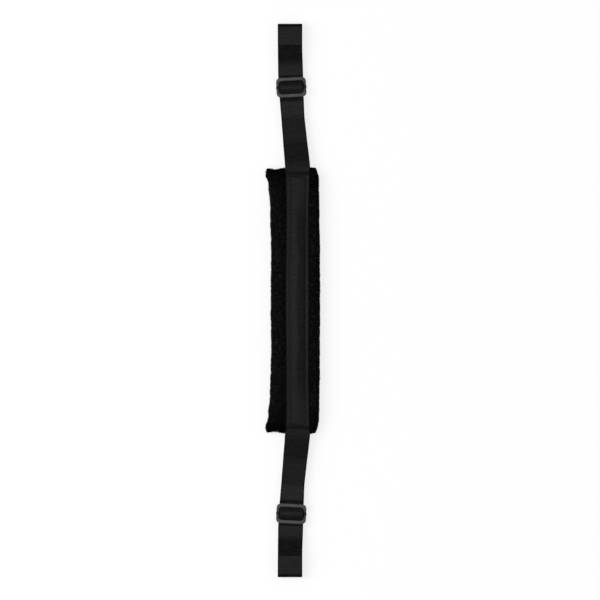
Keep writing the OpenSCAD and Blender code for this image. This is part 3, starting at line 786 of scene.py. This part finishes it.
def quarter_wire():
    """Middle line of a quarter of the loop, from the middle of a rail to the middle of a bar, with the
    direction out of the loop, the direction square to it and the share of the corner passed: an arc in the
    upright plane, a corner arc in the plane that the rail ends in, and a straight bar. The corner is lifted
    a little, so that the webbing's edges pass under it, and out stays as level there as it can."""
    a = np.linspace(0, RAIL_TURN, RAIL_RINGS, endpoint=False)
    rail = np.stack([np.full_like(a, RAIL_X), RAIL_R * np.sin(a), RAIL_R * (1 - np.cos(a))], -1)
    rail_out = np.tile([1.0, 0, 0], (len(a), 1))
    slope = np.array([0, math.cos(RAIL_TURN), math.sin(RAIL_TURN)])
    rail_end = np.array([RAIL_X, RAIL_R * math.sin(RAIL_TURN), RAIL_R * (1 - math.cos(RAIL_TURN))])
    b = np.linspace(0, np.pi / 2, CORNER_RINGS + 1)[:, None]
    corner = rail_end - [CORNER_R, 0, 0] + CORNER_R * (np.cos(b) * [1.0, 0, 0] + np.sin(b) * slope)
    corner_out = np.hstack([np.cos(b), np.sin(b), 0 * b])
    x = np.linspace(corner[-1, 0], 0, BAR_RINGS + 1)[1:, None]
    bar = np.hstack([x, np.tile(corner[-1, 1:], (BAR_RINGS, 1))])
    line = np.concatenate([rail, corner, bar])
    line[:, 2] += CORNER_LIFT * np.concatenate([
        smooth(LIFT_FROM, 1, a / RAIL_TURN), 1 - smooth(0, np.pi / 2, b[:, 0]), np.zeros(BAR_RINGS)])
    out = np.concatenate([rail_out, corner_out, np.tile(corner_out[-1], (BAR_RINGS, 1))])
    ahead = unit(np.gradient(line, axis=0))
    out = unit(out - ahead * np.sum(out * ahead, axis=1, keepdims=True))
    share = np.concatenate([np.zeros(RAIL_RINGS), np.linspace(0, 1, CORNER_RINGS + 1), np.ones(BAR_RINGS)])
    return line, out, np.cross(out, ahead), share


def whole_loop(rows):
    """A quarter's rows carried round all four quarters. Points and directions change the signs of x and
    y from quarter to quarter; plain numbers stay."""
    forth, back = rows[:-1], rows[:0:-1]
    if rows.ndim == 1:
        return np.concatenate([forth, back, forth, back])
    return np.concatenate([forth, back * [-1, 1, 1], forth * [-1, -1, 1], back * [1, -1, 1]])


def slider_wire():
    """Points and quads of the wire: at each place on the loop a superellipse, wide out of the loop and
    high square to it, wider along the bars than along the rails, widest and flattest in the corners."""
    line, out, up, share = (whole_loop(rows) for rows in quarter_wire())
    pressed = np.sin(np.pi * share) ** 2
    wide = RAIL_WIDE + (BAR_WIDE - RAIL_WIDE) * smooth(WIDER_FROM, 1, share) + CORNER_SWELL * pressed
    high = WIRE_HIGH - CORNER_FLAT * pressed
    turn = np.arange(WIRE_SIDES) * 2 * np.pi / WIRE_SIDES
    power = 2 / SECTION_EXPONENT
    c = np.sign(np.cos(turn)) * np.abs(np.cos(turn)) ** power
    s = np.sign(np.sin(turn)) * np.abs(np.sin(turn)) ** power
    points = (line[:, None] + out[:, None] * (wide[:, None] / 2 * c)[..., None]
              + up[:, None] * (high[:, None] / 2 * s)[..., None])
    return points.reshape(-1, 3), tube_faces(len(line), WIRE_SIDES, closed=True)


# Coated steel wire: a dark grey satin coat, fine-grained like baked paint, rubbed paler in small patches.
GRIT, GRIT_DEPTH, WIRE_RUB = 0.35, 0.03, 6.0
wire_steel, tree = new_material("coated_steel_wire")
place = add(tree, "TexCoord").outputs["Object"]
grit = add(tree, "TexNoise", {"Vector": place, "Scale": 1 / (GRIT * MM), "Detail": 2.0})
rub = add(tree, "TexNoise", {"Vector": place, "Scale": 1 / (WIRE_RUB * MM), "Detail": 3.0})
tone = add(tree, "ValToRGB", {"Fac": rub}, stops=((0, "#343434"), (1, "#525252")))
grain = add(tree, "Bump", {"Height": grit, "Distance": GRIT_DEPTH * MM, "Strength": 0.4})
rough = add(tree, "MapRange", {"Value": rub, "To Min": 0.36, "To Max": 0.48})
shader = add(tree, "BsdfPrincipled", {
    "Base Color": tone, "Roughness": rough, "Specular IOR Level": 0.12, "Normal": grain})
add(tree, "OutputMaterial", {"Surface": shader})

for label, side in SIDES:
    points, faces = slider_wire()
    wire = make_piece(f"{label}_slider_wire", on_slider(points), faces, wire_steel, smooth_angle=180)
    if side < 0:
        turned_over(wire)
    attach(wire, f"{label}_slider")
    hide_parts(f"{label}_slider_frame")

# Slider crossbars
# A steel rod lies across the middle of each frame. Each of its ends is a strip that was crimped round
# the side rail, so that a short dark sleeve shows on the rail. The webbing's end is wrapped round it.
BAR_D, ROD_RINGS = 1.8, 9
EYE_R, EYE_BORE, EYE_WIDE, EYE_ROUND = 1.8, 1.3, 2.4, 0.3
ROD_REACH = RAIL_X - EYE_BORE - 0.1
TURN_STEPS, EDGE_STEPS = 40, 5


def crossbar():
    """Points and quads of the rod and its two sleeves: a circle carried along x for the rod, with its
    ends closed, and for each sleeve a ring with rounded edges turned about the rail."""
    turn = np.arange(TURN_STEPS) * 2 * np.pi / TURN_STEPS
    x = np.linspace(-ROD_REACH, ROD_REACH, ROD_RINGS)[:, None] + 0 * turn
    rod = np.stack([x, BAR_D / 2 * np.cos(turn) + 0 * x, BAR_D / 2 * np.sin(turn) + 0 * x], -1)
    k = np.arange(1, TURN_STEPS - 2, 2)
    end = np.stack([0 * k, k, k + 1, k + 2], -1)
    last = (ROD_RINGS - 1) * TURN_STEPS
    rod_faces = np.concatenate([tube_faces(ROD_RINGS, TURN_STEPS)[:, ::-1], end[:, ::-1], end + last])
    edge = np.linspace(0, np.pi / 2, EDGE_STEPS)
    rim_r = EYE_R - EYE_ROUND + EYE_ROUND * np.sin(edge)
    rim_y = EYE_WIDE / 2 - EYE_ROUND + EYE_ROUND * np.cos(edge)
    r = np.concatenate([[EYE_BORE], rim_r, rim_r[::-1], [EYE_BORE]])[:, None]
    y = np.concatenate([[EYE_WIDE / 2], rim_y, -rim_y[::-1], [-EYE_WIDE / 2]])[:, None]
    sleeve = np.stack([r * np.cos(turn), y + 0 * turn, r * np.sin(turn)], -1)
    sleeve_faces = tube_faces(len(r), TURN_STEPS, closed=True)[:, ::-1] + ROD_RINGS * TURN_STEPS
    parts = (rod, sleeve - [RAIL_X, 0, 0], sleeve + [RAIL_X, 0, 0])
    points = np.concatenate([part.reshape(-1, 3) for part in parts])
    return points, np.concatenate([rod_faces, sleeve_faces, sleeve_faces + len(r) * TURN_STEPS])


# Coated steel bar: the same coat as the frame, darker, and dulled where the crimp has worked it.
BAR_RUB, BAR_DENT = 2.0, 0.05
bar_steel, tree = new_material("coated_steel_bar")
place = add(tree, "TexCoord").outputs["Object"]
rub = add(tree, "TexNoise", {"Vector": place, "Scale": 1 / (BAR_RUB * MM), "Detail": 3.0})
tone = add(tree, "ValToRGB", {"Fac": rub}, stops=((0, "#0a0a0b"), (1, "#171718")))
rough = add(tree, "MapRange", {"Value": rub, "To Min": 0.4, "To Max": 0.55})
dents = add(tree, "Bump", {"Height": rub, "Distance": BAR_DENT * MM, "Strength": 0.4})
shader = add(tree, "BsdfPrincipled", {
    "Base Color": tone, "Roughness": rough, "Specular IOR Level": 0.15, "Normal": dents})
add(tree, "OutputMaterial", {"Surface": shader})

for label, side in SIDES:
    points, faces = crossbar()
    rod = make_piece(f"{label}_slider_crossbar", on_slider(points), faces, bar_steel)
    if side < 0:
        turned_over(rod)
    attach(rod, f"{label}_slider")
    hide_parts(f"{label}_slider_bar")

# Return stretches
# From the end loop the webbing comes back under the arm to the slider. Its end is wrapped round the
# crossbar, laid on itself and sewn with two rows of stitches.
RETURN_TILT = math.radians(2.2)
RETURN_Z, RETURN_TO = 1.7, 54.9
TAB_Z, TAB_LEN, TAB_WIDTH = 2.72, 22.0, 23.6
WRAP_R, WRAP_STEPS = 1.45, 25
DOWN_LEN, DOWN_STEPS = 5.5, 14
TAB_ROWS = (8.0, 19.4)


def return_way():
    """Middle line of the wrapped end in side view: flat along under the arm, half a turn round the rod,
    then a cubic down onto the stretch below and flat to the cut end."""
    under = np.arange(RETURN_TO, 0, -1.0)
    a = np.linspace(0, np.pi, WRAP_STEPS)
    q = np.linspace(0, 1, DOWN_STEPS)[1:]
    tab = np.arange(DOWN_LEN + 1, TAB_LEN, 1.0)
    s = np.concatenate([under, -WRAP_R * np.sin(a), DOWN_LEN * q, tab])
    z = np.concatenate([
        np.full(len(under), RETURN_Z), BAR_Z - WRAP_R * np.cos(a),
        hermite(BAR_Z + WRAP_R, TAB_Z, 0.0, 0.0, q), np.full(len(tab), TAB_Z)])
    return s, z


for label, side in SIDES:
    s, z = return_way()
    middle = on_slider(np.stack([0 * s, s, z - BAR_Z], -1), RETURN_TILT)
    run = length_along(middle)
    strip = webbing(f"{label}_return_strip", middle, np.full(len(s), TAB_WIDTH), run)
    x = np.tile(row_x[1:-1], 2 * len(TAB_ROWS))
    row_s = np.tile(np.repeat(TAB_ROWS, len(row_x) - 2), 2)
    below = np.repeat([0, 1], len(x) // 2)
    face_z = np.where(below, RETURN_Z - WEB_THICK / 2, TAB_Z + WEB_THICK / 2)
    place = on_slider(np.stack([x, row_s, face_z - BAR_Z], -1), RETURN_TILT)
    along = np.tile([math.cos(RETURN_TILT), math.sin(RETURN_TILT), 0], (len(x), 1))
    sewing = stitches(f"{label}_tab_stitches", place, along, np.stack([0 * x, 0 * x, 1.0 - 2 * below], -1))
    for piece, node, slot in ((strip, "return_webbing", "webbing"), (sewing, "tab_stitching", "thread")):
        if side < 0:
            turned_over(piece)
        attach(piece, f"{label}_slider")
        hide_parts(f"{label}_{node}")

# End loops
# Past the slider the webbing rises to a crease, runs flat to its fold and comes back underneath. The
# fold is the open loop that a ring or a hook goes through.
END_FOLD_Y, FOLD_REACH, FOLD_EXPONENT, FOLD_STEPS = 281.5, 3.0, 2.3, 40
LOOP_LOW_Z, LOOP_BACK_Y = 0.5, 257.3
END_STEP = 0.6


def loop_way():
    """Middle line of an end: along the strap's line to the fold, down round half a superellipse that is
    higher than it is deep, and level back below."""
    y = np.linspace(ARM_END_Y, END_FOLD_Y, int((END_FOLD_Y - ARM_END_Y) / END_STEP) + 1)
    upper = strap_line(y)
    way = unit((upper[-1] - upper[-2]) * [1, 1, 0])
    radius = (upper[-1, 2] - LOOP_LOW_Z) / 2
    a = np.linspace(0, np.pi, FOLD_STEPS + 1)[1:, None]
    power = 2 / FOLD_EXPONENT
    out, down = np.sin(a) ** power, np.sign(np.cos(a)) * np.abs(np.cos(a)) ** power - 1
    fold = upper[-1] + way * FOLD_REACH * out + np.array([0, 0, radius]) * down
    back = strap_line(y[::-1][y[::-1] > LOOP_BACK_Y][1:]) * [1, 1, 0] + [0, 0, LOOP_LOW_Z]
    return np.concatenate([upper, fold, back])


for label, side in SIDES:
    middle = loop_way()
    run = length_along(middle)
    strip = webbing(f"{label}_end_strip", middle, through(STRAP_WIDTH, middle[:, 1]), ARM_END_Y + run)
    if side < 0:
        turned_over(strip)
    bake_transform(strip)
    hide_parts(f"{label}_end_loop")

# Floor and light
# The strap lies on a table that looks white but gives little light back. A lamp far overhead puts the
# shine on level webbing, a stronger one stands on the left and a faint one on the right, and the room
# gives an even fill.
FLOOR_HALF, FLOOR_DROP = 4.0, 0.15
FLOOR_GLOW = 0.71
LAMPS = (  # name, place and size in metres, power in watts
    ("lamp_over", (0.0, 0.0, 13.0), 2.0, 330.0),
    ("lamp_left", (-2.4, 0.0, 2.2), 2.4, 58.0),
    ("lamp_right", (2.4, 0.0, 2.2), 1.6, 4.0),
)
ROOM_FILL, ROOM_SEEN = 0.45, 1.0


def looking(tree):
    """1 for a ray that shows the background: from the camera, off a shiny surface or through a clear one."""
    ray = add(tree, "LightPath").outputs
    seen = add(tree, "Math", {0: ray["Is Camera Ray"], 1: ray["Is Glossy Ray"]}, operation="MAXIMUM")
    return add(tree, "Math", {0: seen, 1: ray["Is Transmission Ray"]}, operation="MAXIMUM")


# White table: mid grey to the lamps, and lifted to white by a glow that only a looking ray meets.
white, tree = new_material("white_table")
table_top = add(tree, "BsdfDiffuse", {"Color": linear("#949494")})
glow = add(tree, "Emission", {"Color": linear("#ffffff"), "Strength": FLOOR_GLOW})
lifted = add(tree, "AddShader", {0: table_top, 1: glow})
mixed = add(tree, "MixShader", {0: looking(tree), 1: table_top, 2: lifted})
add(tree, "OutputMaterial", {"Surface": mixed})
corners = np.array([[-1, -1, 0], [1, -1, 0], [1, 1, 0], [-1, 1, 0]]) * FLOOR_HALF / MM - [0, 0, FLOOR_DROP]
floor = make_piece("floor", corners, np.array([[0, 1, 2, 3]]), white)

for label, place, size, power in LAMPS:
    lamp = bpy.data.lights.new(label, "AREA")
    lamp.size = size
    lamp.energy = power
    holder = bpy.data.objects.new(label, lamp)
    holder.location = place
    direction = -holder.location.normalized()
    holder.rotation_euler = direction.to_track_quat("-Z", "Y").to_euler()
    bpy.context.collection.objects.link(holder)

world = bpy.data.worlds.new("room")
bpy.context.scene.world = world
world.use_nodes = True
tree = world.node_tree
tree.nodes.clear()
strength = add(tree, "MapRange", {"Value": looking(tree), "To Min": ROOM_FILL, "To Max": ROOM_SEEN})
fill = add(tree, "Background", {"Color": linear("#ffffff"), "Strength": strength})
add(tree, "OutputWorld", {"Surface": fill})
bpy.context.scene.view_settings.view_transform = "Standard"
